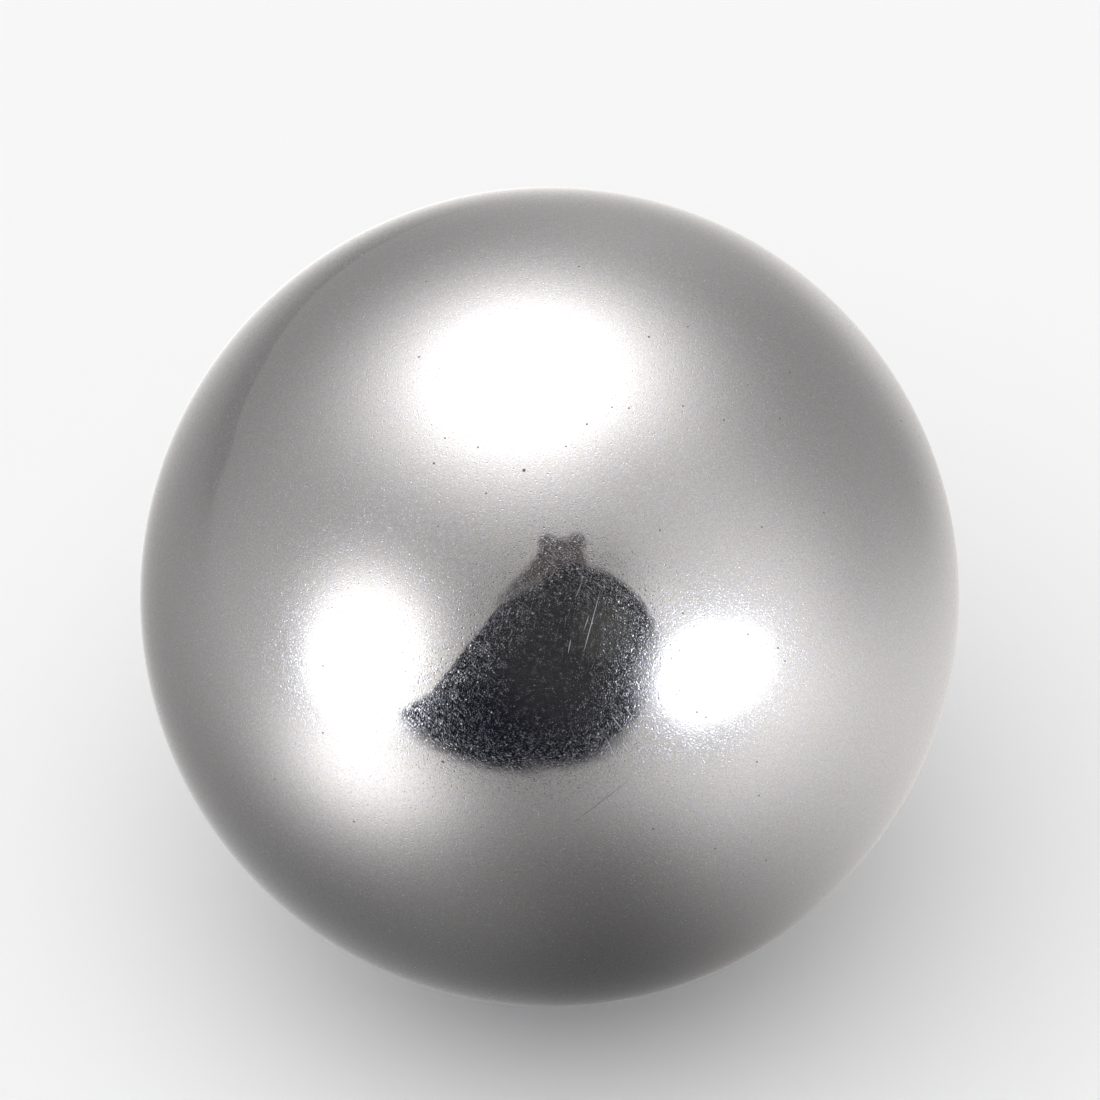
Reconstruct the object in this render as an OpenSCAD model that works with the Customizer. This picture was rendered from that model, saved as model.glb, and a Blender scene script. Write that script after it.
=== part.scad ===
// Solid steel ball, headed from bar, ground and lapped to a true sphere.
// All sizes are in millimetres. The origin is at the ball's centre and +Z points up.

/* [Ball] */
// Diameter of the ball across its centre
ball_d = 40; // [3:0.5:150]

/* [Hidden] */

// Bare lapped steel in plain light
steel_color = [0.70, 0.70, 0.69];

// Segments round the equator, enough for the ball to look round in a preview
$fn = 120;

// The ball is one solid with no flat, hole, seam or core
module ball() {
    color(steel_color)
        sphere(d = ball_d);
}

ball();
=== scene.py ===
"""Looks of a solid steel ball, 40 mm across, headed, ground and lapped, with the pits and hairlines of use.

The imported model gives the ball's size and place. This script replaces its plain sphere by a fine mesh with
real pits and hairlines cut in, dresses it as lapped steel, and sets it on a pale floor inside a light tent.
Lengths are in metres unless a name or a comment says millimetres.
"""

import logging
import math
import random
from dataclasses import dataclass
from enum import Enum

import bpy
import numpy as np
from bpy.types import Material, Node, NodeSocket, NodeTree, Object, bpy_prop_collection
from mathutils import Matrix, Vector


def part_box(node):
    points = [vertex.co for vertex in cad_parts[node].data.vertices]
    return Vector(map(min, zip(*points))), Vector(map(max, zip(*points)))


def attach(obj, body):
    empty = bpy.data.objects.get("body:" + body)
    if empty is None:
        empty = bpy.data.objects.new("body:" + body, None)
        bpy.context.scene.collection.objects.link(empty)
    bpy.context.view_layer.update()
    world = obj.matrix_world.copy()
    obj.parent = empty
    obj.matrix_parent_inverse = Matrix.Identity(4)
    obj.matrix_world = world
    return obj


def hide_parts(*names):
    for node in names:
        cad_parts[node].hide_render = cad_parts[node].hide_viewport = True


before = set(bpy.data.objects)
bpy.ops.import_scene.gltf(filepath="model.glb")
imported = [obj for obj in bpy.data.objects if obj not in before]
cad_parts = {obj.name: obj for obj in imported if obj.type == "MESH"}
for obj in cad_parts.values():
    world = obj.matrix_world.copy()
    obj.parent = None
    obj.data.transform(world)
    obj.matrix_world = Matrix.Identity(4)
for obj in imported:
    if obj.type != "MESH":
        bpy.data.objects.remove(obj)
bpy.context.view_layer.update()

BALL_NODE = "ball"
MM = 0.001

log = logging.getLogger("steel_ball")


def linear(hex_colour: str) -> tuple[float, float, float, float]:
    """Turn an sRGB hex colour into linear light.

    Args:
        hex_colour: Six hex digits after a hash, such as "#C6C5C3".

    Returns:
        Red, green, blue and an alpha of 1.
    """
    channels = [int(hex_colour[i : i + 2], 16) / 255 for i in (1, 3, 5)]
    light = [c / 12.92 if c <= 0.04045 else ((c + 0.055) / 1.055) ** 2.4 for c in channels]
    return (light[0], light[1], light[2], 1.0)


def add_node(tree: NodeTree, kind: str, inputs: dict | None = None, **settings: object) -> Node:
    """Add a node, set its properties and fill or link its inputs.

    Args:
        tree: The node tree of a material or of the world.
        kind: Blender's name for the node's type.
        inputs: Socket name or number to a value, or to the socket that feeds it.
        settings: The node's own properties.

    Returns:
        The new node.
    """
    node = tree.nodes.new(kind)
    for name, value in settings.items():
        setattr(node, name, value)
    for name, value in (inputs or {}).items():
        if isinstance(value, NodeSocket):
            tree.links.new(value, node.inputs[name])
        else:
            node.inputs[name].default_value = value
    return node


@dataclass(frozen=True)
class Finish:
    """What all finishes share: a name, and a material made of the nodes of their surface."""

    name: str

    def build(self) -> Material:
        """Build the material.

        Returns:
            The material, ready for a piece's slot.
        """
        material = bpy.data.materials.new(self.name)
        material.use_nodes = True
        tree = material.node_tree
        tree.nodes.clear()
        add_node(tree, "ShaderNodeOutputMaterial", {"Surface": self.surface(tree)})
        return material

    def surface(self, tree: NodeTree) -> NodeSocket:
        """Add the finish's own nodes, which each finish does in its own way.

        Args:
            tree: The material's node tree; not used here.

        Returns:
            The surface's shader.
        """
        raise NotImplementedError(self.name)


def place_in_mm(tree: NodeTree) -> NodeSocket:
    """Add the point on the piece in millimetres, which the patterns are sized by.

    Args:
        tree: The node tree of a material.

    Returns:
        The point, measured from the ball's centre.
    """
    place = add_node(tree, "ShaderNodeTexCoord").outputs["Object"]
    per_mm = (1 / MM, 1 / MM, 1 / MM)
    return add_node(tree, "ShaderNodeMapping", {"Vector": place, "Scale": per_mm}).outputs["Vector"]


def direction(azimuth: float, elevation: float) -> Vector:
    """Give the unit vector that points an azimuth and an elevation away from the ball.

    Args:
        azimuth: Degrees from the photograph's side, -Y, positive to the right, +X.
        elevation: Degrees above the level.

    Returns:
        The unit vector in the row frame.
    """
    turn = math.radians(azimuth)
    rise = math.radians(elevation)
    return Vector((math.sin(turn) * math.cos(rise), -math.cos(turn) * math.cos(rise), math.sin(rise)))


def read_all(rows: bpy_prop_collection, name: str, kind: type, width: int = 1) -> np.ndarray:
    """Read one value of all vertices, corners or faces of a mesh at once.

    Args:
        rows: The mesh's vertices, loops or polygons.
        name: The value's name.
        kind: The type of its numbers.
        width: How many numbers it has.

    Returns:
        The values in a row, or in a table if each has more than one number.
    """
    values = np.zeros(len(rows) * width, dtype=kind)
    rows.foreach_get(name, values)
    return values.reshape(-1, width) if width > 1 else values


def clear_selection() -> None:
    """Deselect every object, so that the next operator acts on its own piece."""
    bpy.ops.object.select_all(action="DESELECT")


def pick(*pieces: Object) -> None:
    """Select only these pieces, the first of them active.

    Args:
        pieces: The objects to select.
    """
    clear_selection()
    for piece in pieces:
        piece.select_set(True)
    bpy.context.view_layer.objects.active = pieces[0]


# The direction that points right in the picture
SCREEN_RIGHT = Vector((1, 0, 0))


@dataclass(frozen=True)
class PhotoView:
    """The photograph's viewpoint. Columns and rows are its pixels, in a frame of 1100 by 1100."""

    elevation: float = 43.0
    distance: float = 0.40
    image_side: int = 1100
    ball_column: float = 549.3
    ball_row: float = 596.6
    ball_across: float = 819.5
    sensor_mm: float = 36.0
    clip_near: float = 0.01
    clip_far: float = 20.0

    def sight(self) -> Vector:
        """Give the unit vector from the ball's centre to the camera."""
        return direction(0, self.elevation)

    def screen_up(self) -> Vector:
        """Give the unit vector that points up in the picture."""
        return direction(180, 90 - self.elevation)

    def focal_pixels(self, radius: float) -> float:
        """Give the focal length in pixels that shows the ball at the photograph's size.

        Args:
            radius: The ball's radius.

        Returns:
            The focal length in pixels.
        """
        tangent = radius / math.sqrt(self.distance**2 - radius**2)
        return self.ball_across / 2 / tangent

    def point_on_ball(self, column: float, row: float, radius: float) -> Vector:
        """Find the place on the ball that a pixel of the photograph shows.

        Args:
            column: Pixels from the left edge.
            row: Pixels from the top edge.
            radius: The ball's radius.

        Returns:
            The point on the sphere.
        """
        focal = self.focal_pixels(radius)
        eye = self.sight() * self.distance
        ray = SCREEN_RIGHT * (column - self.ball_column) / focal
        ray += self.screen_up() * (self.ball_row - row) / focal - self.sight()
        ray.normalize()
        half = eye.dot(ray)
        reach = half * half - eye.length_squared + radius * radius
        return eye + ray * (-half - math.sqrt(max(reach, 0.0)))

    def place_camera(self, radius: float) -> None:
        """Put the scene's camera at the photograph's viewpoint.

        Args:
            radius: The ball's radius.
        """
        focal = self.focal_pixels(radius)
        pixel = self.distance / focal
        middle = self.image_side / 2
        aim = self.screen_up() * (self.ball_row - middle) * pixel
        aim -= SCREEN_RIGHT * (self.ball_column - middle) * pixel
        data = bpy.data.cameras.new("photo_camera")
        data.sensor_width = self.sensor_mm
        data.lens = focal * self.sensor_mm / self.image_side
        data.clip_start = self.clip_near
        data.clip_end = self.clip_far
        camera = bpy.data.objects.new("photo_camera", data)
        bpy.context.scene.collection.objects.link(camera)
        turn = Matrix((SCREEN_RIGHT, self.screen_up(), self.sight())).transposed()
        camera.matrix_world = Matrix.Translation(aim + self.sight() * self.distance) @ turn.to_4x4()
        bpy.context.scene.camera = camera


# How the lapping strokes lie, in degrees about X, Y and Z
STROKE_TURNS = ((0, 28, -30), (0, -45, 68), (0, 50, 10))


@dataclass(frozen=True)
class LappedSteel(Finish):
    """Through-hardened bearing steel, ground and lapped: a crisp grey mirror under a thin grained haze.

    The haze is what scatters the lamps' light over the dark parts of the mirrored picture. Real lapping
    grain is a few thousandths of a millimetre wide, too fine to show. So the grain, the strokes, the tone
    and the dots are drawn as coarse as they need to be, a pixel or more of the photograph across.
    """

    name: str = "lapped_steel"
    # The clear mirror, with the faint ripple that grinding leaves
    metal: str = "#C6C5C4"
    mirror_roughness: float = 0.055
    ripple_mm: float = 0.40
    ripple_height_mm: float = 0.0022
    # The haze of fine grain over it, thicker in some clouds than in others
    haze_colour: str = "#C3C5CE"
    haze_roughness: float = 0.14
    haze_least: float = 0.02
    haze_most: float = 1.0
    cloud_mm: float = 5.0
    cloud_range: tuple[float, float] = (0.3, 0.7)
    cloud_depth: float = 0.06
    grain_mm: float = 0.065
    grain_height_mm: float = 0.0135
    wear_start: float = 0.51
    wear_span: float = 0.25
    wear_power: float = 1.5
    # Short strokes of lapping, which join the haze
    stroke_mm: float = 0.065
    stroke_length_mm: float = 0.50
    stroke_start: float = 0.60
    stroke_span: float = 0.20
    # Light and dark tone, and scattered dots of either
    tone_mm: float = 0.085
    tone_range: tuple[float, float] = (0.25, 0.75)
    tone_depth: float = 0.15
    dot_spacing_mm: float = 0.45
    dot_share: float = 0.12
    dot_dark: float = 0.55
    dot_light: float = 1.25
    # Steep pin-pricks
    speck_spacing_mm: float = 0.30
    speck_share: float = 0.20
    speck_height_mm: float = 0.007
    # The bloom of handling
    bloom_roughness: float = 0.45
    bloom_mm: float = 0.24
    bloom_start: float = 0.53
    bloom_end: float = 0.72
    bloom_most: float = 0.24

    def surface(self, tree: NodeTree) -> NodeSocket:
        """Add the finish's nodes.

        Args:
            tree: The material's node tree.

        Returns:
            The shader of the ball's skin.
        """
        in_mm = place_in_mm(tree)
        ripple = add_node(
            tree, "ShaderNodeTexNoise", {"Vector": in_mm, "Scale": 1 / self.ripple_mm, "Detail": 2.0}
        ).outputs["Fac"]
        grain = add_node(
            tree, "ShaderNodeTexNoise", {"Vector": in_mm, "Scale": 1 / self.grain_mm, "Detail": 1.0}
        ).outputs["Fac"]
        specks = self.add_specks(tree, in_mm)
        tone = self.add_tone(tree, in_mm)
        mirror = self.add_sheen(
            tree,
            self.metal,
            tone,
            self.mirror_roughness,
            ((ripple, self.ripple_height_mm), (specks, -self.speck_height_mm)),
        )
        haze = self.add_sheen(
            tree,
            self.haze_colour,
            tone,
            self.haze_roughness,
            ((grain, self.grain_height_mm), (specks, -self.speck_height_mm)),
        )
        share = add_node(
            tree,
            "ShaderNodeMapRange",
            {
                "Value": self.add_wear(tree, in_mm, grain),
                "To Min": self.haze_least,
                "To Max": self.haze_most,
            },
        ).outputs["Result"]
        both = add_node(tree, "ShaderNodeMixShader", {0: share, 1: mirror, 2: haze}).outputs["Shader"]
        bloom = self.add_sheen(tree, self.haze_colour, tone, self.bloom_roughness, ())
        return add_node(
            tree, "ShaderNodeMixShader", {0: self.add_bloom(tree, in_mm), 1: both, 2: bloom}
        ).outputs["Shader"]

    def add_sheen(
        self,
        tree: NodeTree,
        colour: str,
        tone: NodeSocket,
        roughness: float,
        reliefs: tuple[tuple[NodeSocket, float], ...],
    ) -> NodeSocket:
        """Add bare metal with some fine relief.

        Args:
            tree: The steel's node tree.
            colour: The metal's colour.
            tone: How much lighter or darker the metal is at each point.
            roughness: The metal's roughness.
            reliefs: Each relief's field and its height in millimetres.

        Returns:
            The metal's shader.
        """
        height = 0.0
        for field, rise in reliefs:
            height = add_node(
                tree, "ShaderNodeMath", {0: field, 1: rise, 2: height}, operation="MULTIPLY_ADD"
            ).outputs["Value"]
        normal = add_node(
            tree, "ShaderNodeBump", {"Height": height, "Strength": 1.0, "Distance": MM}
        ).outputs["Normal"]
        toned = add_node(
            tree, "ShaderNodeVectorMath", {0: linear(colour)[:3], "Scale": tone}, operation="SCALE"
        ).outputs["Vector"]
        return add_node(
            tree,
            "ShaderNodeBsdfPrincipled",
            {"Base Color": toned, "Metallic": 1.0, "Roughness": roughness, "Normal": normal},
        ).outputs["BSDF"]

    def add_tone(self, tree: NodeTree, in_mm: NodeSocket) -> NodeSocket:
        """Vary the metal's brightness by fine grain and by scattered dark and light dots.

        Args:
            tree: The steel's node tree.
            in_mm: The point on the skin, in millimetres.

        Returns:
            A factor near 1 for the metal's colour.
        """
        fine = add_node(
            tree,
            "ShaderNodeTexNoise",
            {"Vector": in_mm, "Scale": 1 / self.tone_mm, "Detail": 2.0, "Roughness": 0.6},
        ).outputs["Fac"]
        fine = add_node(
            tree,
            "ShaderNodeMapRange",
            {
                "Value": fine,
                "From Min": self.tone_range[0],
                "From Max": self.tone_range[1],
                "To Min": 1 - self.tone_depth,
                "To Max": 1 + self.tone_depth,
            },
        ).outputs["Result"]
        cells = add_node(
            tree, "ShaderNodeTexVoronoi", {"Vector": in_mm, "Scale": 1 / self.dot_spacing_mm}
        ).outputs
        inside = add_node(
            tree,
            "ShaderNodeMapRange",
            {"Value": cells["Distance"], "From Min": self.dot_share, "From Max": 0.0},
            interpolation_type="SMOOTHSTEP",
        ).outputs["Result"]
        lot = add_node(
            tree, "ShaderNodeVectorMath", {0: cells["Color"], 1: (1, 0, 0)}, operation="DOT_PRODUCT"
        ).outputs["Value"]
        kind = add_node(
            tree, "ShaderNodeMapRange", {"Value": lot, "To Min": self.dot_dark, "To Max": self.dot_light}
        ).outputs["Result"]
        dots = add_node(
            tree, "ShaderNodeMix", {"Factor": inside, "A": 1.0, "B": kind}, data_type="FLOAT"
        ).outputs["Result"]
        return add_node(tree, "ShaderNodeMath", {0: fine, 1: dots}, operation="MULTIPLY").outputs["Value"]

    def add_bloom(self, tree: NodeTree, in_mm: NodeSocket) -> NodeSocket:
        """Add the uneven bloom of handling, which lightens dark reflections in blotches.

        Args:
            tree: The steel's node tree.
            in_mm: The point on the skin, in millimetres.

        Returns:
            The bloom's share, 0 where the skin is clean.
        """
        blotches = add_node(
            tree,
            "ShaderNodeTexNoise",
            {"Vector": in_mm, "Scale": 1 / self.bloom_mm, "Detail": 3.0, "Roughness": 0.7},
        ).outputs["Fac"]
        return add_node(
            tree,
            "ShaderNodeMapRange",
            {
                "Value": blotches,
                "From Min": self.bloom_start,
                "From Max": self.bloom_end,
                "To Max": self.bloom_most,
            },
        ).outputs["Result"]

    def add_strokes(self, tree: NodeTree, in_mm: NodeSocket) -> NodeSocket:
        """Add the short strokes that lapping leaves.

        Args:
            tree: The steel's node tree.
            in_mm: The point on the skin, in millimetres.

        Returns:
            0 between the strokes, up to 1 in one.
        """
        found = 0.0
        for turn in STROKE_TURNS:
            along = add_node(
                tree,
                "ShaderNodeMapping",
                {
                    "Vector": in_mm,
                    "Rotation": tuple(math.radians(t) for t in turn),
                    "Scale": (self.stroke_length_mm, self.stroke_mm, self.stroke_mm),
                },
                vector_type="TEXTURE",
            ).outputs["Vector"]
            strokes = add_node(
                tree, "ShaderNodeTexNoise", {"Vector": along, "Scale": 1.0, "Detail": 0.0}
            ).outputs["Fac"]
            found = add_node(
                tree, "ShaderNodeMath", {0: found, 1: strokes}, operation="MAXIMUM"
            ).outputs["Value"]
        return add_node(
            tree,
            "ShaderNodeMapRange",
            {
                "Value": found,
                "From Min": self.stroke_start,
                "From Max": self.stroke_start + self.stroke_span,
            },
        ).outputs["Result"]

    def add_wear(self, tree: NodeTree, in_mm: NodeSocket, grain: NodeSocket) -> NodeSocket:
        """Turn the grain into wear, thicker in some clouds than in others.

        Args:
            tree: The steel's node tree.
            in_mm: The point on the skin, in millimetres.
            grain: The fine grain.

        Returns:
            0 on polished skin, up to 1 in the dullest grain.
        """
        clouds = add_node(
            tree,
            "ShaderNodeTexNoise",
            {"Vector": in_mm, "Scale": 1 / self.cloud_mm, "Detail": 3.0, "Roughness": 0.6},
        ).outputs["Fac"]
        start = add_node(
            tree,
            "ShaderNodeMapRange",
            {
                "Value": clouds,
                "From Min": self.cloud_range[0],
                "From Max": self.cloud_range[1],
                "To Min": self.wear_start + self.cloud_depth / 2,
                "To Max": self.wear_start - self.cloud_depth / 2,
            },
        ).outputs["Result"]
        end = add_node(
            tree, "ShaderNodeMath", {0: start, 1: self.wear_span}, operation="ADD"
        ).outputs["Value"]
        wear = add_node(
            tree, "ShaderNodeMapRange", {"Value": grain, "From Min": start, "From Max": end}
        ).outputs["Result"]
        wear = add_node(
            tree, "ShaderNodeMath", {0: wear, 1: self.wear_power}, operation="POWER"
        ).outputs["Value"]
        return add_node(
            tree, "ShaderNodeMath", {0: wear, 1: self.add_strokes(tree, in_mm)}, operation="MAXIMUM"
        ).outputs["Value"]

    def add_specks(self, tree: NodeTree, in_mm: NodeSocket) -> NodeSocket:
        """Add scattered steep pin-pricks.

        Args:
            tree: The steel's node tree.
            in_mm: The point on the skin, in millimetres.

        Returns:
            0 on the skin, up to 1 in a pin-prick.
        """
        cells = add_node(
            tree, "ShaderNodeTexVoronoi", {"Vector": in_mm, "Scale": 1 / self.speck_spacing_mm}
        ).outputs["Distance"]
        return add_node(
            tree,
            "ShaderNodeMapRange",
            {"Value": cells, "From Min": self.speck_share, "From Max": 0.0},
            interpolation_type="SMOOTHSTEP",
        ).outputs["Result"]


@dataclass(frozen=True)
class PitFloor(Finish):
    """The dull floor of a corrosion pit: dark oxide on broken steel, which looks like a small speck.

    The oxide's grain is too fine to show and is drawn coarser, at a third of a pit's width.
    """

    name: str = "pitted_steel"
    oxide: str = "#4E4B48"
    bare: str = "#8C8A87"
    grain_mm: float = 0.03
    roughness: float = 0.45

    def surface(self, tree: NodeTree) -> NodeSocket:
        """Add the finish's nodes.

        Args:
            tree: The material's node tree.

        Returns:
            The shader of the pits' walls.
        """
        in_mm = place_in_mm(tree)
        speckle = add_node(
            tree, "ShaderNodeTexNoise", {"Vector": in_mm, "Scale": 1 / self.grain_mm, "Detail": 2.0}
        ).outputs["Fac"]
        colour = add_node(
            tree,
            "ShaderNodeMix",
            {"Factor": speckle, "A": linear(self.oxide), "B": linear(self.bare)},
            data_type="RGBA",
        ).outputs["Result"]
        return add_node(
            tree,
            "ShaderNodeBsdfPrincipled",
            {"Base Color": colour, "Metallic": 1.0, "Roughness": self.roughness},
        ).outputs["BSDF"]


@dataclass(frozen=True)
class ScoredSteel(Finish):
    """Fresh steel bared by a scratch, a little duller than the skin, which draws a thin bright line."""

    name: str = "scored_steel"
    metal: str = "#8E8E91"
    roughness: float = 0.30

    def surface(self, tree: NodeTree) -> NodeSocket:
        """Add the finish's nodes.

        Args:
            tree: The material's node tree.

        Returns:
            The shader of the hairlines' walls.
        """
        return add_node(
            tree,
            "ShaderNodeBsdfPrincipled",
            {"Base Color": linear(self.metal), "Metallic": 1.0, "Roughness": self.roughness},
        ).outputs["BSDF"]


@dataclass(frozen=True)
class PaleFloor(Finish):
    """Matt white studio board, pale enough to read as white without clipping."""

    name: str = "white_board"
    colour: str = "#F7F7F7"

    def surface(self, tree: NodeTree) -> NodeSocket:
        """Add the finish's nodes.

        Args:
            tree: The material's node tree.

        Returns:
            The floor's shader.
        """
        return add_node(tree, "ShaderNodeBsdfDiffuse", {"Color": linear(self.colour)}).outputs["BSDF"]


CLOTH_TINT = "#FFFCF9"
LAMP_TINT = "#EEF3FF"


@dataclass(frozen=True)
class Heading:
    """A direction in which the ball sees something on the tent, in degrees as direction() takes them."""

    azimuth: float
    elevation: float

    def cosine(self, tree: NodeTree, sight: NodeSocket) -> NodeSocket:
        """Add the cosine of the angle between a line of sight and this heading.

        Args:
            tree: The cloth's node tree.
            sight: Unit vector from the ball to the cloth.

        Returns:
            The cosine.
        """
        return add_node(
            tree,
            "ShaderNodeVectorMath",
            {0: sight, 1: direction(self.azimuth, self.elevation)},
            operation="DOT_PRODUCT",
        ).outputs["Value"]


@dataclass(frozen=True)
class Glow(Heading):
    """A soft patch of the tent's cloth that a lamp outside lights up, or a fold that stays darker."""

    spread: float
    strength: float
    tint: str = CLOTH_TINT

    def add(self, tree: NodeTree, sight: NodeSocket) -> NodeSocket:
        """Add this glow to the cloth's nodes.

        Args:
            tree: The cloth's node tree.
            sight: Unit vector from the ball to the cloth.

        Returns:
            The light that this glow gives there, as a vector of red, green and blue.
        """
        sharpness = 1 / math.radians(self.spread) ** 2
        falloff = add_node(
            tree,
            "ShaderNodeMath",
            {0: self.cosine(tree, sight), 1: sharpness, 2: -sharpness},
            operation="MULTIPLY_ADD",
        ).outputs["Value"]
        bell = add_node(tree, "ShaderNodeMath", {0: falloff}, operation="EXPONENT").outputs["Value"]
        peak = Vector(linear(self.tint)[:3]) * self.strength
        return add_node(
            tree, "ShaderNodeVectorMath", {0: peak, "Scale": bell}, operation="SCALE"
        ).outputs["Vector"]


class Join(Enum):
    """How a region of the cloth is joined with the next one."""

    SHARED = "MULTIPLY"
    EITHER = "MAXIMUM"


@dataclass(frozen=True)
class Edge(Heading):
    """A straight or round edge of the opening, on the sphere of directions round the ball."""

    reach: float
    softness: float

    def add(self, tree: NodeTree, sight: NodeSocket) -> NodeSocket:
        """Add the region inside this edge.

        Args:
            tree: The cloth's node tree.
            sight: Unit vector from the ball to the cloth.

        Returns:
            1 within the reach of the edge's own direction and 0 outside, with a soft step between.
        """
        return add_node(
            tree,
            "ShaderNodeMapRange",
            {
                "Value": self.cosine(tree, sight),
                "From Min": math.cos(math.radians(self.reach + self.softness / 2)),
                "From Max": math.cos(math.radians(self.reach - self.softness / 2)),
            },
            interpolation_type="SMOOTHSTEP",
        ).outputs["Result"]


@dataclass(frozen=True)
class Opening:
    """The tent's front opening: dark and round on the right, cut on the left by a straight fold of cloth.

    A brown-grey flap hangs over its top with two knuckles. All edges lie round headings from the ball.
    """

    dark: str = "#3F3E3E"
    cool: str = "#1B1B27"
    pale: str = "#575753"
    flap: str = "#5E5754"
    # The hole, and two parts that widen it
    hole: Edge = Edge(azimuth=4.5, elevation=26.3, reach=26.0, softness=1.6)
    low_part: Edge = Edge(azimuth=1.5, elevation=15.0, reach=20.8, softness=9.0)
    left_part: Edge = Edge(azimuth=-90, elevation=0, reach=89.0, softness=14.0)
    # The straight fold and the jamb that cut it, and its left tip, with a fold of its own
    fold: Edge = Edge(azimuth=53.1, elevation=-22.1, reach=90.0, softness=0.8)
    jamb: Edge = Edge(azimuth=54.0, elevation=0, reach=90.0, softness=2.0)
    tip: Edge = Edge(azimuth=-27.8, elevation=2.0, reach=11.9, softness=5.0)
    tip_fold: Edge = Edge(azimuth=45.6, elevation=-40.9, reach=88.4, softness=1.5)
    # What bounds hole and tip below, towards the lamp on the right, and above
    sill: Edge = Edge(azimuth=-8, elevation=40, reach=47.8, softness=7.0)
    off_lamp: Edge = Edge(azimuth=225, elevation=-11, reach=161.5, softness=12.0)
    lintel: Edge = Edge(azimuth=35.9, elevation=-36.0, reach=91.0, softness=3.4)
    # The flap over the lintel, its lower tongue and its two knuckles
    band: Edge = Edge(azimuth=0, elevation=22.0, reach=33.0, softness=1.5)
    flap_fold: Edge = Edge(azimuth=53.1, elevation=-22.1, reach=91.5, softness=2.4)
    tongue: Edge = Edge(azimuth=5.0, elevation=52.4, reach=6.8, softness=1.8)
    left_knuckle: Edge = Edge(azimuth=-0.8, elevation=58.0, reach=2.4, softness=1.6)
    right_knuckle: Edge = Edge(azimuth=13.6, elevation=57.3, reach=2.6, softness=1.6)
    # The neutral and the pale part of the opening's inside, which is cool elsewhere
    deep: Edge = Edge(azimuth=8, elevation=30, reach=19.0, softness=26.0)
    pale_part: Edge = Edge(azimuth=18, elevation=32.5, reach=5.5, softness=10.0)

    def cut(self, tree: NodeTree, sight: NodeSocket, light: NodeSocket) -> NodeSocket:
        """Cut the opening out of the cloth's light.

        Args:
            tree: The cloth's node tree.
            sight: Unit vector from the ball to the cloth.
            light: The cloth's light.

        Returns:
            The light with the opening in it.
        """
        below_lintel = self.lintel.add(tree, sight)
        above_lintel = add_node(
            tree, "ShaderNodeMath", {0: 1.0, 1: below_lintel}, operation="SUBTRACT"
        ).outputs["Value"]
        flap = self.blend(tree, sight, above_lintel, (self.band, self.flap_fold), Join.SHARED)
        knuckles = (self.tongue, self.left_knuckle, self.right_knuckle)
        flap = self.blend(tree, sight, flap, knuckles, Join.EITHER)
        hole = self.hole.add(tree, sight)
        hole = self.blend(tree, sight, hole, (self.low_part, self.left_part), Join.EITHER)
        hole = self.blend(tree, sight, hole, (self.fold, self.jamb), Join.SHARED)
        tip = self.blend(tree, sight, self.tip.add(tree, sight), (self.tip_fold,), Join.SHARED)
        hole = add_node(tree, "ShaderNodeMath", {0: hole, 1: tip}, operation="MAXIMUM").outputs["Value"]
        hole = self.blend(tree, sight, hole, (self.sill, self.off_lamp), Join.SHARED)
        hole = add_node(
            tree, "ShaderNodeMath", {0: hole, 1: below_lintel}, operation="MULTIPLY"
        ).outputs["Value"]
        deep = (self.deep.add(tree, sight), linear(self.dark))
        pale = (self.pale_part.add(tree, sight), linear(self.pale))
        inside = self.paint(tree, linear(self.cool), (deep, pale))
        return self.paint(tree, light, ((flap, linear(self.flap)), (hole, inside)))

    def blend(
        self,
        tree: NodeTree,
        sight: NodeSocket,
        region: NodeSocket,
        edges: tuple[Edge, ...],
        join: Join,
    ) -> NodeSocket:
        """Join a region with the regions inside more edges.

        Args:
            tree: The cloth's node tree.
            sight: Unit vector from the ball to the cloth.
            region: The region so far, from 0 to 1.
            edges: The edges to join it with.
            join: Whether to keep what all of them share, or what any of them has.

        Returns:
            The joined region.
        """
        for edge in edges:
            region = add_node(
                tree, "ShaderNodeMath", {0: region, 1: edge.add(tree, sight)}, operation=join.value
            ).outputs["Value"]
        return region

    def paint(
        self, tree: NodeTree, ground: object, coats: tuple[tuple[NodeSocket, object], ...]
    ) -> NodeSocket:
        """Paint coats over a ground, each only in its own region.

        Args:
            tree: The cloth's node tree.
            ground: The colour or the light that is painted over.
            coats: Each coat's region and its colour, the lowest coat first.

        Returns:
            The painted light.
        """
        for region, colour in coats:
            ground = add_node(
                tree, "ShaderNodeMix", {"Factor": region, "A": ground, "B": colour}, data_type="RGBA"
            ).outputs["Result"]
        return ground


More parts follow.
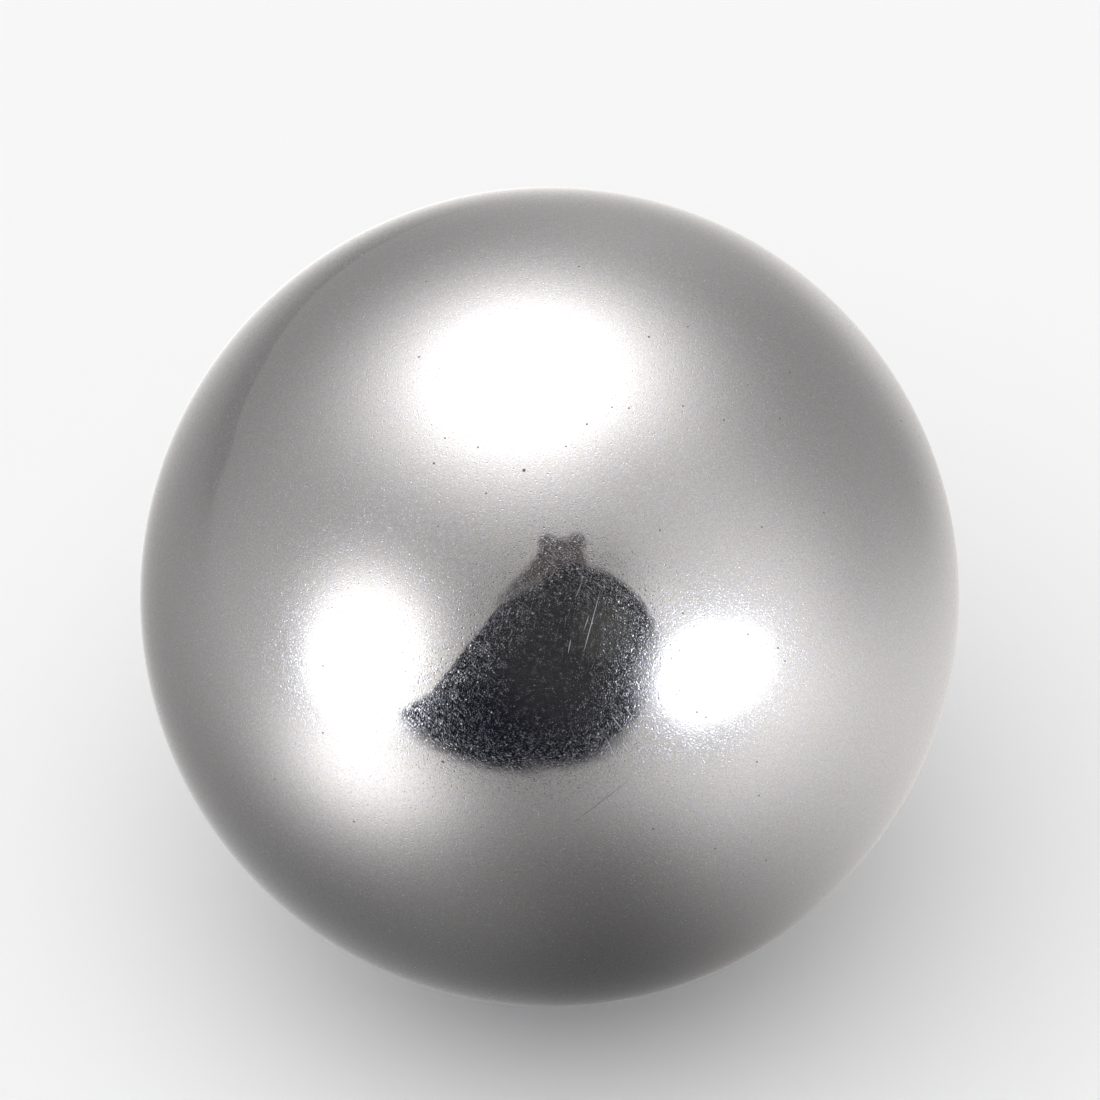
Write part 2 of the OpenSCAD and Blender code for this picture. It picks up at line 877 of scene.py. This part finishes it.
GLOWS = (
    # The overhead lamp, and painted shade, as of a fold, that cuts its right side
    Glow(azimuth=197, elevation=71, spread=21.4, strength=2.7),
    Glow(azimuth=200, elevation=72, spread=8.0, strength=4.0, tint=LAMP_TINT),
    Glow(azimuth=69, elevation=70.5, spread=10.0, strength=-0.16),
    # The lamp on the left, the cloth and the ground that it lights below, and painted shade above it, as of
    # a fold
    Glow(azimuth=-52, elevation=16, spread=11.8, strength=2.75),
    Glow(azimuth=-54, elevation=6, spread=6.0, strength=9.0, tint=LAMP_TINT),
    Glow(azimuth=-78, elevation=-5.5, spread=23.5, strength=0.26),
    Glow(azimuth=-44, elevation=-19.5, spread=13.5, strength=1.55),
    Glow(azimuth=-16, elevation=-55, spread=11.5, strength=0.16),
    Glow(azimuth=-63, elevation=43, spread=15.5, strength=-0.09),
    # The lamp on the right with its skirt, the cloth it lights, two shaded folds by it, and lit ground
    Glow(azimuth=56.5, elevation=-3.5, spread=22.0, strength=0.84),
    Glow(azimuth=42.9, elevation=12.3, spread=5.5, strength=12.5, tint=LAMP_TINT),
    Glow(azimuth=54, elevation=9, spread=4.7, strength=4.5, tint=LAMP_TINT),
    Glow(azimuth=60, elevation=28, spread=22.0, strength=0.41),
    Glow(azimuth=24, elevation=50, spread=5.5, strength=-0.14),
    Glow(azimuth=39, elevation=34, spread=5.0, strength=0.25),
    Glow(azimuth=44, elevation=-6.5, spread=6.0, strength=-0.15),
    Glow(azimuth=97, elevation=-52, spread=28.0, strength=0.65),
    Glow(azimuth=40, elevation=-31, spread=9.5, strength=0.13),
    Glow(azimuth=25, elevation=-17, spread=9.5, strength=0.09),
    # A shaded fold at the right, towards the back
    Glow(azimuth=125, elevation=-23, spread=10.0, strength=-0.14),
    # The front of the tent, a little brighter than its back
    Glow(azimuth=-24, elevation=55, spread=61.0, strength=0.18),
    # Shade round the ball's foot and on the ground in front of it
    Glow(azimuth=3, elevation=-71.5, spread=23.5, strength=-0.58),
    Glow(azimuth=20, elevation=-36, spread=10.0, strength=-0.07),
    # The bright ground behind, the back wall over it, and the shaded corner left of them
    Glow(azimuth=189, elevation=-37.5, spread=17.5, strength=0.82),
    Glow(azimuth=152, elevation=-24.5, spread=9.0, strength=0.20),
    Glow(azimuth=170.5, elevation=9, spread=12.5, strength=0.16),
    Glow(azimuth=-164, elevation=-14, spread=8.0, strength=-0.16),
)


@dataclass(frozen=True)
class TentCloth(Finish):
    """Thin white tent cloth lit from outside, drawn as painted glow with painted shade at its folds: the
    ball mirrors its glow, its folds and its opening.
    """

    name: str = "tent_cloth"
    level: float = 0.30
    least: float = 0.03

    def build(self) -> Material:
        """Build the material, which glows but isn't sampled as a lamp.

        Returns:
            The material, ready for a piece's slot.
        """
        material = super().build()
        material.cycles.emission_sampling = "NONE"
        return material

    def surface(self, tree: NodeTree) -> NodeSocket:
        """Add the finish's nodes.

        Args:
            tree: The material's node tree.

        Returns:
            A glow whose pattern depends only on its own place round the ball.
        """
        place = add_node(tree, "ShaderNodeTexCoord").outputs["Object"]
        sight = add_node(
            tree, "ShaderNodeVectorMath", {0: self.add_place(tree, place)}, operation="NORMALIZE"
        ).outputs["Vector"]
        light = self.add_light(tree, sight)
        light = self.add_pattern(tree, place, sight, light)
        return add_node(tree, "ShaderNodeEmission", {"Color": light}).outputs["Emission"]

    def add_place(self, tree: NodeTree, place: NodeSocket) -> NodeSocket:
        """Give the place that a point of the cloth takes its light from, which is its own.

        Args:
            tree: The cloth's node tree; not used here.
            place: The point on the cloth.

        Returns:
            The place, unchanged.
        """
        return place

    def add_light(self, tree: NodeTree, sight: NodeSocket) -> NodeSocket:
        """Add up the cloth's even level and all its glows.

        Args:
            tree: The cloth's node tree.
            sight: Unit vector from the ball to the cloth.

        Returns:
            The cloth's light as a vector of red, green and blue.
        """
        light = Vector(linear(CLOTH_TINT)[:3]) * self.level
        for glow in GLOWS:
            light = add_node(
                tree, "ShaderNodeVectorMath", {0: glow.add(tree, sight), 1: light}, operation="ADD"
            ).outputs["Vector"]
        least = (self.least, self.least, self.least)
        return add_node(
            tree, "ShaderNodeVectorMath", {0: light, 1: least}, operation="MAXIMUM"
        ).outputs["Vector"]

    def add_pattern(
        self,
        tree: NodeTree,
        place: NodeSocket,
        sight: NodeSocket,
        light: NodeSocket,
    ) -> NodeSocket:
        """Cut the opening out of the cloth.

        Args:
            tree: The cloth's node tree.
            place: The point on the cloth; not used here.
            sight: Unit vector from the ball to the cloth.
            light: The cloth's light.

        Returns:
            The light with the opening in it.
        """
        return Opening().cut(tree, sight, light)


@dataclass(frozen=True)
class Fold:
    """A straight fold across the ground sheet, with the ball on its near side."""

    azimuth: float
    reach: float
    softness: float

    def add(self, tree: NodeTree, place: NodeSocket) -> NodeSocket:
        """Add the ground on the near side of this fold.

        Args:
            tree: The sheet's node tree.
            place: The point on the sheet.

        Returns:
            1 on the ball's side of the fold and 0 beyond it, with a soft step between.
        """
        across = add_node(
            tree,
            "ShaderNodeVectorMath",
            {0: place, 1: direction(self.azimuth, 0)},
            operation="DOT_PRODUCT",
        ).outputs["Value"]
        return add_node(
            tree,
            "ShaderNodeMapRange",
            {
                "Value": across,
                "From Min": self.reach + self.softness / 2,
                "From Max": self.reach - self.softness / 2,
            },
            interpolation_type="SMOOTHSTEP",
        ).outputs["Result"]


@dataclass(frozen=True)
class GroundSheet(TentCloth):
    """The tent's ground sheet: brightest close behind the ball, with a shaded strip between two folds."""

    name: str = "tent_ground_cloth"
    # How much lower than its place the sheet takes its light from, and the reach within which it does
    drop: float = 1.0
    drop_fade: float = 0.35
    # The oval of bright ground that the ball's rim mirrors
    halo_light: float = 0.31
    halo_lean: float = 25.0
    halo_width: float = 0.020
    halo_length: float = 0.0293
    halo_behind: float = 0.0214
    halo_fade: float = 0.245
    halo_round: float = 0.06
    # The strip that is shaded between folds
    strip_depth: float = 0.23
    strip_back: Fold = Fold(azimuth=133.8, reach=0.121, softness=0.006)
    strip_front: Fold = Fold(azimuth=-34.8, reach=0.048, softness=0.05)
    strip_side: Fold = Fold(azimuth=90, reach=-0.02, softness=0.06)
    strip_start: float = 0.07
    strip_end: float = 0.26

    def add_place(self, tree: NodeTree, place: NodeSocket) -> NodeSocket:
        """Take the light from lower down near the ball, which spreads the glows over more of the sheet.

        Args:
            tree: The sheet's node tree.
            place: The point on the sheet.

        Returns:
            The point, up to twice as far below the ball's middle.
        """
        away = add_node(
            tree, "ShaderNodeVectorMath", {0: place, 1: place}, operation="DOT_PRODUCT"
        ).outputs["Value"]
        fade = add_node(
            tree, "ShaderNodeMath", {0: away, 1: self.drop_fade**-2, 2: 1.0}, operation="MULTIPLY_ADD"
        ).outputs["Value"]
        share = add_node(
            tree, "ShaderNodeMath", {0: self.drop, 1: fade}, operation="DIVIDE"
        ).outputs["Value"]
        depth = add_node(
            tree, "ShaderNodeVectorMath", {0: place, 1: (0, 0, 1)}, operation="MULTIPLY"
        ).outputs["Vector"]
        lower = add_node(
            tree, "ShaderNodeVectorMath", {0: depth, "Scale": share}, operation="SCALE"
        ).outputs["Vector"]
        return add_node(
            tree, "ShaderNodeVectorMath", {0: place, 1: lower}, operation="ADD"
        ).outputs["Vector"]

    def add_pattern(
        self,
        tree: NodeTree,
        place: NodeSocket,
        sight: NodeSocket,
        light: NodeSocket,
    ) -> NodeSocket:
        """Add the halo round the ball, shade the strip and cut the opening.

        Args:
            tree: The sheet's node tree.
            place: The point on the sheet.
            sight: Unit vector from the ball to the sheet, steepened by the drop.
            light: The sheet's light.

        Returns:
            The light with the halo, the strip and the opening in it.
        """
        halo = self.add_halo(tree, place)
        light = add_node(
            tree, "ShaderNodeVectorMath", {0: light, 1: halo}, operation="ADD"
        ).outputs["Vector"]
        kept = self.add_strip(tree, place)
        shaded = add_node(
            tree, "ShaderNodeVectorMath", {0: light, "Scale": kept}, operation="SCALE"
        ).outputs["Vector"]
        return Opening().cut(tree, sight, shaded)

    def add_halo(self, tree: NodeTree, place: NodeSocket) -> NodeSocket:
        """Add the bright ground that the ball's rim mirrors, brighter on the left than on the right.

        It is brightest along the oval that the rim shows, and falls off inside it, under the ball.

        Args:
            tree: The sheet's node tree.
            place: The point on the sheet.

        Returns:
            The halo's light, the same for red, green and blue.
        """
        oval = add_node(
            tree,
            "ShaderNodeVectorMath",
            {
                0: place,
                1: (1 / self.halo_width, 1 / self.halo_length, 0),
                2: (0, -self.halo_behind / self.halo_length, 0),
            },
            operation="MULTIPLY_ADD",
        ).outputs["Vector"]
        steps = add_node(tree, "ShaderNodeVectorMath", {0: oval}, operation="LENGTH").outputs["Value"]
        beyond = add_node(
            tree, "ShaderNodeMath", {0: steps, 1: 1.0}, operation="SUBTRACT"
        ).outputs["Value"]
        square = add_node(
            tree,
            "ShaderNodeMath",
            {0: beyond, 1: beyond, 2: self.halo_round**2},
            operation="MULTIPLY_ADD",
        ).outputs["Value"]
        rounded = add_node(tree, "ShaderNodeMath", {0: square}, operation="SQRT").outputs["Value"]
        falloff = add_node(
            tree,
            "ShaderNodeMath",
            {0: rounded, 1: -1 / self.halo_fade, 2: self.halo_round / self.halo_fade},
            operation="MULTIPLY_ADD",
        ).outputs["Value"]
        bell = add_node(tree, "ShaderNodeMath", {0: falloff}, operation="EXPONENT").outputs["Value"]
        side = add_node(
            tree, "ShaderNodeVectorMath", {0: place, 1: (-self.halo_lean, 0, 0)}, operation="DOT_PRODUCT"
        ).outputs["Value"]
        peak = add_node(
            tree, "ShaderNodeMath", {0: side, 1: self.halo_light}, operation="ADD", use_clamp=True
        ).outputs["Value"]
        return add_node(tree, "ShaderNodeMath", {0: bell, 1: peak}, operation="MULTIPLY").outputs["Value"]

    def add_strip(self, tree: NodeTree, place: NodeSocket) -> NodeSocket:
        """Add the shaded strip that runs from the ball to the tent's left back corner.

        Args:
            tree: The sheet's node tree.
            place: The point on the sheet.

        Returns:
            The share of its light that the sheet keeps.
        """
        away = add_node(tree, "ShaderNodeVectorMath", {0: place}, operation="LENGTH").outputs["Value"]
        strip = add_node(
            tree,
            "ShaderNodeMapRange",
            {
                "Value": away,
                "From Min": self.strip_start,
                "From Max": self.strip_end,
                "To Max": self.strip_depth,
            },
        ).outputs["Result"]
        for fold in (self.strip_back, self.strip_front, self.strip_side):
            strip = add_node(
                tree, "ShaderNodeMath", {0: strip, 1: fold.add(tree, place)}, operation="MULTIPLY"
            ).outputs["Value"]
        return add_node(tree, "ShaderNodeMath", {0: 1.0, 1: strip}, operation="SUBTRACT").outputs["Value"]


@dataclass(frozen=True)
class Pit:
    """A corrosion pit that the photograph shows, at its pixel there."""

    column: float
    row: float
    across_mm: float = 0.09


@dataclass(frozen=True)
class Hairline:
    """A hairline that the photograph shows, from one pixel to another."""

    column: float
    row: float
    end_column: float
    end_row: float
    across_mm: float = 0.04


PITS = (
    Pit(524, 468, 0.17),
    Pit(434, 461, 0.12),
    Pit(649, 335, 0.12),
    Pit(629, 406, 0.10),
    Pit(612, 405),
    Pit(587, 422, 0.11),
    Pit(566, 444),
    Pit(445, 436),
    Pit(478, 445),
    Pit(419, 355, 0.11),
    Pit(426, 280, 0.10),
    Pit(486, 491, 0.11),
    Pit(438, 524),
    Pit(660, 528),
    Pit(443, 760, 0.15),
    Pit(579, 265, 0.11),
    Pit(688, 325, 0.10),
    Pit(724, 418, 0.11),
    Pit(683, 404),
    Pit(790, 371, 0.11),
    Pit(780, 417),
    Pit(748, 383),
    Pit(824, 511),
    Pit(762, 525),
    Pit(901, 420, 0.11),
    Pit(918, 482),
    Pit(683, 611),
    Pit(748, 632),
    Pit(778, 646),
    Pit(785, 659),
    Pit(706, 715),
    Pit(697, 710, 0.11),
    Pit(757, 760),
    Pit(759, 794),
    Pit(653, 827, 0.11),
    Pit(715, 847),
    Pit(766, 859),
    Pit(323, 664, 0.11),
    Pit(323, 731),
    Pit(354, 820, 0.11),
    Pit(275, 778),
    Pit(321, 911),
    Pit(368, 899),
    Pit(516, 871, 0.11),
    Pit(276, 439),
    Pit(601, 612, 0.09),
    Pit(616, 612, 0.09),
    Pit(598, 581, 0.07),
    Pit(578, 601, 0.07),
    Pit(505, 735, 0.07),
)

HAIRLINES = (
    Hairline(601, 586, 583, 652),
    Hairline(589.5, 611, 584, 628, 0.033),
    Hairline(583, 577, 575, 597, 0.033),
    Hairline(571, 636, 568, 652, 0.033),
    Hairline(624, 702.5, 636, 719.5),
    Hairline(610.5, 712, 624, 729.5),
    Hairline(633, 726.5, 641, 737.5),
    Hairline(622, 740, 630, 750),
    Hairline(605, 733.5, 618.5, 761.5, 0.035),
    Hairline(568, 824, 634.5, 772.5, 0.03),
)


@dataclass
class LappedBall:
    """The one piece: a true sphere with its pits and hairlines cut into the skin."""

    radius: float
    view: PhotoView
    # The pits on the sides that the photograph doesn't show: how many, how wide, and below which cosine
    # of their angle to the camera they lie
    pits_elsewhere: int = 220
    elsewhere_mm: tuple[float, float] = (0.06, 0.12)
    unseen_below: float = 0.1
    seed: int = 40
    # How finely the blank is divided
    blank_cuts: int = 2
    fineness: int = 5
    # The form of the marks
    pit_fineness: int = 3
    pit_stretch: tuple[float, float] = (0.85, 1.3)
    pit_depth_share: float = 0.22
    hairline_depth_share: float = 0.20
    hairline_steps: int = 14
    hairline_overrun: float = 1.1
    sliver_mm: float = 0.0001
    layout_margin: float = 0.03

    def build(self) -> Object:
        """Model the ball, cut its marks, and dress it.

        Returns:
            The finished piece.
        """
        ball = self.round_blank()
        ball.data.materials.append(LappedSteel().build())
        self.cut(ball, self.pit_cutters(PitFloor().build()))
        log.info("pits cut, %d faces", len(ball.data.polygons))
        self.cut(ball, self.hairline_cutters(ScoredSteel().build()))
        log.info("hairlines cut, %d faces", len(ball.data.polygons))
        self.merge_slivers(ball)
        self.set_normals(ball)
        self.lay_out(ball)
        return ball

    def round_blank(self) -> Object:
        """Model the plain sphere in even four-sided faces, with no poles.

        Returns:
            The blank.
        """
        clear_selection()
        bpy.ops.mesh.primitive_cube_add(size=2 * self.radius)
        ball = bpy.context.object
        ball.name = "polished_ball"
        ball.data.name = "polished_ball"
        bpy.ops.object.mode_set(mode="EDIT")
        bpy.ops.mesh.select_all(action="SELECT")
        bpy.ops.mesh.subdivide(number_cuts=self.blank_cuts)
        bpy.ops.object.mode_set(mode="OBJECT")
        rounder = ball.modifiers.new("rounding", "SUBSURF")
        rounder.levels = self.fineness
        rounder.render_levels = self.fineness
        bpy.ops.object.modifier_apply(modifier=rounder.name)
        truer = ball.modifiers.new("truing", "CAST")
        truer.cast_type = "SPHERE"
        truer.factor = 1.0
        truer.use_radius_as_size = False
        truer.size = self.radius
        bpy.ops.object.modifier_apply(modifier=truer.name)
        bpy.ops.object.shade_smooth()
        return ball

    def pit_cutters(self, finish: Material) -> Object:
        """Model one rounded cutter and set a copy of it at every pit.

        Args:
            finish: The finish that the pits' walls get.

        Returns:
            All cutters as one object.
        """
        clear_selection()
        bpy.ops.mesh.primitive_ico_sphere_add(subdivisions=self.pit_fineness, radius=1)
        cutter = bpy.context.object
        cutter.name = "pit_cutter"
        cutter.data.materials.append(finish)
        places = [(self.view.point_on_ball(p.column, p.row, self.radius), p.across_mm) for p in PITS]
        places += self.places_elsewhere()
        dice = random.Random(self.seed + 1)
        copies = [self.set_cutter(cutter, place, across, dice) for place, across in places]
        bpy.data.objects.remove(cutter)
        pick(*copies)
        bpy.ops.object.join()
        return bpy.context.object

    def places_elsewhere(self) -> list[tuple[Vector, float]]:
        """Scatter pits over the part of the ball that the photograph doesn't show.

        Returns:
            Each pit's place and its width in millimetres.
        """
        dice = random.Random(self.seed)
        places = []
        while len(places) < self.pits_elsewhere:
            spot = Vector((dice.gauss(0, 1), dice.gauss(0, 1), dice.gauss(0, 1))).normalized()
            if spot.dot(self.view.sight()) < self.unseen_below:
                places.append((spot * self.radius, dice.uniform(*self.elsewhere_mm)))
        return places

    def set_cutter(self, cutter: Object, place: Vector, across_mm: float, dice: random.Random) -> Object:
        """Copy the cutter to one pit, so that it cuts a shallow bowl.

        Args:
            cutter: The unit sphere to copy.
            place: The pit's middle on the skin.
            across_mm: The bowl's width.
            dice: The seeded source of the bowl's turn and stretch.

        Returns:
            The copy, with its place in its mesh.
        """
        across = across_mm * MM
        depth = across * self.pit_depth_share
        # The radius of the sphere whose cap is that wide and deep
        bowl = (across**2 / 4 + depth**2) / (2 * depth)
        outward = place.normalized()
        centre = outward * (self.radius - depth + bowl)
        stretch = dice.uniform(*self.pit_stretch)
        shape = Matrix.Diagonal((bowl * stretch, bowl / stretch, bowl, 1))
        turn = outward.to_track_quat("Z", "Y").to_matrix().to_4x4()
        spin = Matrix.Rotation(dice.uniform(0, math.tau), 4, "Z")
        copy = cutter.copy()
        copy.data = cutter.data.copy()
        copy.data.transform(Matrix.Translation(centre) @ turn @ spin @ shape)
        bpy.context.scene.collection.objects.link(copy)
        return copy

    def hairline_cutters(self, finish: Material) -> Object:
        """Model a thin wedge for every hairline.

        Args:
            finish: The finish that the hairlines' walls get.

        Returns:
            All wedges as one object.
        """
        wedges = [self.hairline_wedge(line, finish) for line in HAIRLINES]
        pick(*wedges)
        bpy.ops.object.join()
        return bpy.context.object

    def hairline_wedge(self, line: Hairline, finish: Material) -> Object:
        """Spin a four-cornered profile into a wedge that is bent less than the skin.

        So the hairline is deepest in its middle and runs out at both ends.

        Args:
            line: The hairline's ends and width.
            finish: The finish that the hairline's walls get.

        Returns:
            The wedge, with its place in its mesh.
        """
        start = self.view.point_on_ball(line.column, line.row, self.radius)
        end = self.view.point_on_ball(line.end_column, line.end_row, self.radius)
        length = (end - start).length
        along = (end - start).normalized()
        outward = (start + end).normalized()
        across = outward.cross(along)
        width = line.across_mm * MM
        depth = width * self.hairline_depth_share
        # An arc rises by its chord squared over 8 radii, so this bend meets the skin at both ends
        bend = 1 / (1 / self.radius - 8 * depth / length**2)
        turn = self.hairline_overrun * length / bend
        centre = outward * (self.radius - depth - bend)
        clear_selection()
        bpy.ops.mesh.primitive_circle_add(vertices=4, radius=1, fill_type="NGON")
        wedge = bpy.context.object
        wedge.name = "hairline_wedge"
        wedge.data.materials.append(finish)
        facing = Matrix((across, outward, along)).transposed().to_4x4()
        shape = Matrix.Diagonal((width, 2 * depth, 1, 1))
        wedge.data.transform(Matrix.Translation(outward * (self.radius + depth)) @ facing @ shape)
        back = Matrix.Rotation(turn / 2, 4, across)
        wedge.data.transform(Matrix.Translation(centre) @ back @ Matrix.Translation(-centre))
        bpy.ops.object.mode_set(mode="EDIT")
        bpy.ops.mesh.select_all(action="SELECT")
        bpy.ops.mesh.spin(steps=self.hairline_steps, angle=turn, center=centre, axis=across)
        bpy.ops.mesh.select_all(action="SELECT")
        bpy.ops.mesh.normals_make_consistent(inside=False)
        bpy.ops.object.mode_set(mode="OBJECT")
        return wedge

    def cut(self, ball: Object, cutters: Object) -> None:
        """Cut the marks out of the ball.

        Args:
            ball: The blank.
            cutters: The cutters, which are used up.
        """
        pick(ball)
        tool = ball.modifiers.new("marks", "BOOLEAN")
        tool.operation = "DIFFERENCE"
        tool.solver = "MANIFOLD"
        tool.material_mode = "TRANSFER"
        tool.object = cutters
        bpy.ops.object.modifier_apply(modifier=tool.name)
        bpy.data.objects.remove(cutters)

    def merge_slivers(self, ball: Object) -> None:
        """Merge the corners that the cuts leave almost on top of each other.

        Args:
            ball: The cut ball.
        """
        pick(ball)
        welder = ball.modifiers.new("slivers", "WELD")
        welder.merge_threshold = self.sliver_mm * MM
        bpy.ops.object.modifier_apply(modifier=welder.name)

    def set_normals(self, ball: Object) -> None:
        """Give the skin the true sphere's normals, so that cuts leave no dents in its shine.

        Args:
            ball: The cut ball.
        """
        mesh = ball.data
        finishes = read_all(mesh.polygons, "material_index", np.int32)
        counts = read_all(mesh.polygons, "loop_total", np.int32)
        corners = read_all(mesh.loops, "vertex_index", np.int32)
        places = read_all(mesh.vertices, "co", np.float64, 3)
        face_normals = read_all(mesh.polygons, "normal", np.float64, 3)
        face_of = np.repeat(np.arange(len(counts)), counts)
        in_mark = finishes[face_of] > 0
        normals = places[corners] / np.linalg.norm(places[corners], axis=1)[:, None]
        mark_normals = np.zeros_like(places)
        np.add.at(mark_normals, corners[in_mark], face_normals[face_of[in_mark]])
        normals[in_mark] = mark_normals[corners[in_mark]]
        normals /= np.linalg.norm(normals, axis=1)[:, None]
        mesh.normals_split_custom_set(normals.tolist())

    def lay_out(self, ball: Object) -> None:
        """Lay the skin out flat as the six sides of a cube, for finishes that are baked.

        Args:
            ball: The cut ball.
        """
        mesh = ball.data
        layer = mesh.uv_layers.new(name="OFBake")
        half_side = 0.5 - self.layout_margin
        columns, rows = 3, 2
        flat = np.zeros((len(mesh.loops), 2))
        for face in mesh.polygons:
            middle = face.center
            axis = max(range(3), key=lambda i: abs(middle[i]))
            side = axis * 2 + (middle[axis] < 0)
            across, along = [(1, 2), (2, 0), (0, 1)][axis]
            for corner in face.loop_indices:
                spot = mesh.vertices[mesh.loops[corner].vertex_index].co
                depth = abs(spot[axis])
                turn = math.atan2(spot[across], depth) * 4 / math.pi
                rise = math.atan2(spot[along], depth) * 4 / math.pi
                if middle[axis] < 0:
                    turn = -turn
                column = side % columns + 0.5 + turn * half_side
                row = side // columns + 0.5 + rise * half_side
                flat[corner] = (column / columns, row / rows)
        layer.data.foreach_set("uv", flat.ravel())


@dataclass
class Studio:
    """The pale floor, the light tent round the ball, and the light that falls on the floor."""

    radius: float
    floor_reach: float = 3.0
    tent_reach: float = 2.0
    round_sides: int = 96
    tent_rings: int = 64
    ground_lift: float = 0.0004
    room_light: float = 0.55
    backdrop_light: float = 1.0
    lamp_light: float = 0.47
    lamp_angle: float = 70.0
    lamp_tilt: tuple[float, float] = (12.0, -10.0)

    def build(self) -> None:
        """Set up the whole studio."""
        self.lay_floor()
        self.hang_tent()
        self.lay_tent_ground()
        self.light_world()
        self.hang_lamp()

    def lay_floor(self) -> None:
        """Lay the white board that the ball stands on."""
        clear_selection()
        bpy.ops.mesh.primitive_circle_add(
            vertices=self.round_sides,
            radius=self.floor_reach,
            fill_type="NGON",
            location=(0, 0, -self.radius),
        )
        floor = bpy.context.object
        floor.name = "floor"
        floor.data.materials.append(PaleFloor().build())

    def hang_tent(self) -> None:
        """Hang the cloth dome, a painted glow with painted shade, that only the ball's shine sees."""
        clear_selection()
        bpy.ops.mesh.primitive_uv_sphere_add(
            segments=self.round_sides, ring_count=self.tent_rings, radius=self.tent_reach
        )
        tent = bpy.context.object
        tent.name = "tent"
        bpy.ops.object.mode_set(mode="EDIT")
        bpy.ops.mesh.select_all(action="SELECT")
        bpy.ops.mesh.bisect(
            plane_co=(0, 0, -self.radius + self.ground_lift), plane_no=(0, 0, -1), clear_outer=True
        )
        bpy.ops.object.mode_set(mode="OBJECT")
        bpy.ops.object.shade_smooth()
        tent.data.materials.append(TentCloth().build())
        self.show_only_in_shine(tent)

    def lay_tent_ground(self) -> None:
        """Lay the tent's ground sheet, a painted glow with painted light and shadow round the ball, a hair
        above the floor.
        """
        clear_selection()
        bpy.ops.mesh.primitive_circle_add(
            vertices=self.round_sides, radius=self.tent_reach, fill_type="NGON"
        )
        ground = bpy.context.object
        ground.name = "tent_ground"
        ground.data.transform(Matrix.Translation((0, 0, -self.radius + self.ground_lift)))
        ground.data.materials.append(GroundSheet().build())
        self.show_only_in_shine(ground)

    def show_only_in_shine(self, cloth: Object) -> None:
        """Let polished metal mirror a cloth that neither the camera nor the floor's light sees.

        Args:
            cloth: The tent's piece.
        """
        cloth.visible_camera = False
        cloth.visible_diffuse = False
        cloth.visible_transmission = False
        cloth.visible_volume_scatter = False
        cloth.visible_shadow = False

    def light_world(self) -> None:
        """Fill the room with even white light, full white where the camera or a shine looks out."""
        world = bpy.data.worlds.new("room")
        bpy.context.scene.world = world
        world.use_nodes = True
        tree = world.node_tree
        tree.nodes.clear()
        path = add_node(tree, "ShaderNodeLightPath").outputs
        seen = path["Is Camera Ray"]
        for ray in ("Is Glossy Ray", "Is Transmission Ray"):
            seen = add_node(
                tree, "ShaderNodeMath", {0: seen, 1: path[ray]}, operation="MAXIMUM"
            ).outputs["Value"]
        strength = add_node(
            tree,
            "ShaderNodeMix",
            {"Factor": seen, "A": self.room_light, "B": self.backdrop_light},
            data_type="FLOAT",
        ).outputs["Result"]
        white = {"Color": (1, 1, 1, 1), "Strength": strength}
        sky = add_node(tree, "ShaderNodeBackground", white).outputs["Background"]
        add_node(tree, "ShaderNodeOutputWorld", {"Surface": sky})

    def hang_lamp(self) -> None:
        """Hang one wide soft lamp overhead for the floor and the ball's shadow."""
        data = bpy.data.lights.new("overhead", "SUN")
        data.energy = self.lamp_light * math.pi
        data.angle = math.radians(self.lamp_angle)
        lamp = bpy.data.objects.new("overhead", data)
        bpy.context.scene.collection.objects.link(lamp)
        lamp.visible_glossy = False
        lamp.rotation_euler = (math.radians(self.lamp_tilt[0]), math.radians(self.lamp_tilt[1]), 0)


def main() -> None:
    """Build the ball, the studio and the camera, and attach the ball to the root body."""
    logging.basicConfig(level=logging.INFO, format="%(name)s: %(message)s")
    low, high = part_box(BALL_NODE)
    radius = (high.z - low.z) / 2
    view = PhotoView()

    view.place_camera(radius)
    log.info("camera placed")
    ball = LappedBall(radius, view).build()
    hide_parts(BALL_NODE)
    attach(ball, "root")
    log.info("ball built")
    Studio(radius).build()
    log.info("studio built")

    bpy.context.scene.view_settings.view_transform = "Standard"


if __name__ == "__main__":
    main()
